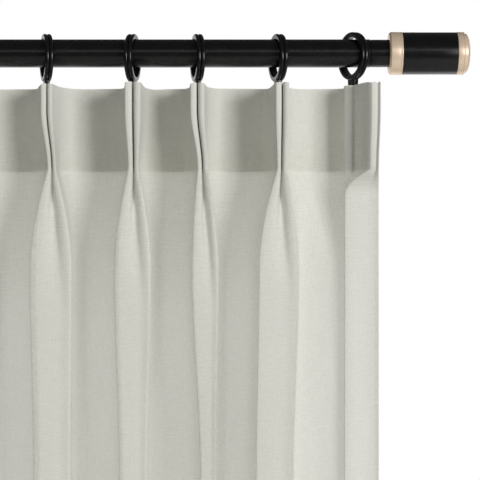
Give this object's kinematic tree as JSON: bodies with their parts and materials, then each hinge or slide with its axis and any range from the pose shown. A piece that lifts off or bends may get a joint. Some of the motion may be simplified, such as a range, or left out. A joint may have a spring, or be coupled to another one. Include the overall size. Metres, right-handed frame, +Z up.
{
  "type": "window curtains on a rod",
  "caption": "Pair of pinch-pleated linen side panels hung by eyelet rings on a black wall-mounted rod with drum finials banded in pale brass.",
  "frame": {"origin": "on the wall, midway between the two brackets, level with the rod's axis", "axes": "+X along the rod towards its right end as seen from the room, +Y into the wall, +Z up"},
  "size_m": [1.9624, 0.1577, 2.1878],
  "materials": {
    "satin_black": "satin black powder coat",
    "champagne_brass": "brushed pale champagne brass",
    "linen": "slubby semi-sheer oyster linen weave",
    "buckram": "stiff woven heading tape",
    "steel": "bright zinc-plated steel"
  },
  "bodies": {
    "root": {"rod": "satin_black", "right_bracket_plate": "satin_black", "right_bracket_arm": "satin_black", "right_upper_wall_screw": "steel", "right_lower_wall_screw": "steel", "left_bracket_plate": "satin_black", "left_bracket_arm": "satin_black", "left_upper_wall_screw": "steel", "left_lower_wall_screw": "steel"},
    "right_finial": {"right_finial_collar": "satin_black", "right_finial_inner_band": "champagne_brass", "right_finial_barrel": "satin_black", "right_finial_end_cap": "champagne_brass"},
    "right_clamp": {"right_bracket_thumbscrew": "satin_black"},
    "right_panel": {"right_curtain_web": "linen", "right_buckram": "buckram", "right_ring_1": "satin_black", "right_hook_1": "steel", "right_fold_1": "linen"},
    "right_hanger_2": {"right_ring_2": "satin_black", "right_hook_2": "steel", "right_fold_2": "linen"},
    "right_hanger_3": {"right_ring_3": "satin_black", "right_hook_3": "steel", "right_fold_3": "linen"},
    "right_hanger_4": {"right_ring_4": "satin_black", "right_hook_4": "steel", "right_fold_4": "linen"},
    "right_hanger_5": {"right_ring_5": "satin_black", "right_hook_5": "steel", "right_fold_5": "linen"},
    "right_hanger_6": {"right_ring_6": "satin_black", "right_hook_6": "steel", "right_fold_6": "linen"},
    "left_finial": {"left_finial_collar": "satin_black", "left_finial_inner_band": "champagne_brass", "left_finial_barrel": "satin_black", "left_finial_end_cap": "champagne_brass"},
    "left_clamp": {"left_bracket_thumbscrew": "satin_black"},
    "left_panel": {"left_curtain_web": "linen", "left_buckram": "buckram", "left_ring_1": "satin_black", "left_hook_1": "steel", "left_fold_1": "linen"},
    "left_hanger_2": {"left_ring_2": "satin_black", "left_hook_2": "steel", "left_fold_2": "linen"},
    "left_hanger_3": {"left_ring_3": "satin_black", "left_hook_3": "steel", "left_fold_3": "linen"},
    "left_hanger_4": {"left_ring_4": "satin_black", "left_hook_4": "steel", "left_fold_4": "linen"},
    "left_hanger_5": {"left_ring_5": "satin_black", "left_hook_5": "steel", "left_fold_5": "linen"},
    "left_hanger_6": {"left_ring_6": "satin_black", "left_hook_6": "steel", "left_fold_6": "linen"}
  },
  "joints": [
    {"name": "right_finial_turn", "type": "hinge", "parent": "root", "child": "right_finial", "pos_m": [0.9, -0.088, 0], "axis": [1, 0, 0], "continuous": true},
    {"name": "right_clamp_turn", "type": "hinge", "parent": "root", "child": "right_clamp", "pos_m": [0.42, -0.088, -0.03], "axis": [0, 0, 1], "continuous": true},
    {"name": "right_swing", "type": "hinge", "parent": "root", "child": "right_panel", "pos_m": [0, -0.088, 0], "axis": [-1, 0, 0], "range_deg": [-1, 12]},
    {"name": "right_draw", "type": "slide", "parent": "right_panel", "child": "right_hanger_6", "axis": [1, 0, 0], "range_m": [0, 0.2109], "deforming": ["right_curtain_web", "right_buckram"]},
    {"name": "right_follow_5", "type": "slide", "parent": "right_panel", "child": "right_hanger_5", "axis": [1, 0, 0], "range_m": [0, 0.1688]},
    {"name": "right_follow_4", "type": "slide", "parent": "right_panel", "child": "right_hanger_4", "axis": [1, 0, 0], "range_m": [0, 0.1215]},
    {"name": "right_follow_3", "type": "slide", "parent": "right_panel", "child": "right_hanger_3", "axis": [1, 0, 0], "range_m": [0, 0.0857]},
    {"name": "right_follow_2", "type": "slide", "parent": "right_panel", "child": "right_hanger_2", "axis": [1, 0, 0], "range_m": [0, 0.0414]},
    {"name": "left_finial_turn", "type": "hinge", "parent": "root", "child": "left_finial", "pos_m": [-0.9, -0.088, 0], "axis": [-1, 0, 0], "continuous": true},
    {"name": "left_clamp_turn", "type": "hinge", "parent": "root", "child": "left_clamp", "pos_m": [-0.42, -0.088, -0.03], "axis": [0, 0, 1], "continuous": true},
    {"name": "left_swing", "type": "hinge", "parent": "root", "child": "left_panel", "pos_m": [0, -0.088, 0], "axis": [-1, 0, 0], "range_deg": [-1, 12]},
    {"name": "left_draw", "type": "slide", "parent": "left_panel", "child": "left_hanger_6", "axis": [-1, 0, 0], "range_m": [0, 0.2085], "deforming": ["left_curtain_web", "left_buckram"]},
    {"name": "left_follow_5", "type": "slide", "parent": "left_panel", "child": "left_hanger_5", "axis": [-1, 0, 0], "range_m": [0, 0.1647]},
    {"name": "left_follow_4", "type": "slide", "parent": "left_panel", "child": "left_hanger_4", "axis": [-1, 0, 0], "range_m": [0, 0.1273]},
    {"name": "left_follow_3", "type": "slide", "parent": "left_panel", "child": "left_hanger_3", "axis": [-1, 0, 0], "range_m": [0, 0.0822]},
    {"name": "left_follow_2", "type": "slide", "parent": "left_panel", "child": "left_hanger_2", "axis": [-1, 0, 0], "range_m": [0, 0.0437]}
  ],
  "couplings": [
    {"joint": "right_follow_5", "follows": "right_draw", "ratio": 0.79922},
    {"joint": "right_follow_4", "follows": "right_draw", "ratio": 0.57497},
    {"joint": "right_follow_3", "follows": "right_draw", "ratio": 0.40548},
    {"joint": "right_follow_2", "follows": "right_draw", "ratio": 0.19557},
    {"joint": "left_follow_5", "follows": "left_draw", "ratio": 0.78892},
    {"joint": "left_follow_4", "follows": "left_draw", "ratio": 0.6095},
    {"joint": "left_follow_3", "follows": "left_draw", "ratio": 0.39314},
    {"joint": "left_follow_2", "follows": "left_draw", "ratio": 0.20844}
  ]
}
